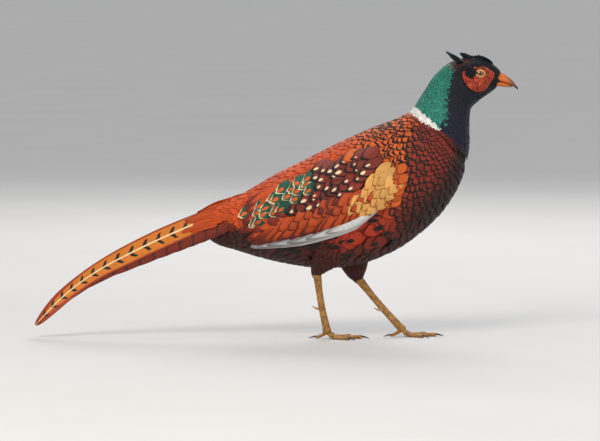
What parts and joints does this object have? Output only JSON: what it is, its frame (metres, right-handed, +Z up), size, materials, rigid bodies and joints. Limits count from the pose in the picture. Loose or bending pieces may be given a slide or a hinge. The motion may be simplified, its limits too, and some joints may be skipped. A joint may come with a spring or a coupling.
{
  "type": "common pheasant",
  "caption": "Life-size still museum model of a cock common pheasant in a walking stance, with folded wings and a long tapering tail, standing on its own feet",
  "frame": {"origin": "centre of the bounding box's floor, on the floor between bill tip and tail tip", "axes": "+X forwards to the bill, +Y to the bird's left, +Z up"},
  "size_m": [0.6624, 0.1406, 0.391],
  "materials": {
    "dark_plumage": "glossy blue-black feather",
    "green_plumage": "glossy green feather",
    "copper_plumage": "copper-red feather with dark edges",
    "wing_plumage": "rust, buff and cream feather",
    "tail_plumage": "buff-orange feather with black bars",
    "thigh_plumage": "dark brown downy feather",
    "bare_skin": "matt red folded skin",
    "bill_horn": "satin orange-buff horn",
    "leg_skin": "satin orange-brown scutes",
    "claw_horn": "satin dark horn",
    "eye": "polished amber eye with a dark pupil"
  },
  "bodies": {
    "root": {"head": "dark_plumage", "neck": "green_plumage", "torso": "copper_plumage", "bill_upper": "bill_horn", "bill_lower": "bill_horn", "tail": "tail_plumage", "eye_right": "eye", "face_right": "bare_skin", "wing_right": "wing_plumage", "eye_left": "eye", "face_left": "bare_skin", "wing_left": "wing_plumage", "thigh_right": "thigh_plumage", "shank_right": "leg_skin", "spur_right": "claw_horn", "foot_right": "leg_skin", "claw_right_1": "claw_horn", "claw_right_2": "claw_horn", "claw_right_3": "claw_horn", "claw_right_4": "claw_horn", "thigh_left": "thigh_plumage", "shank_left": "leg_skin", "spur_left": "claw_horn", "foot_left": "leg_skin", "claw_left_1": "claw_horn", "claw_left_2": "claw_horn", "claw_left_3": "claw_horn", "claw_left_4": "claw_horn"}
  },
  "joints": []
}
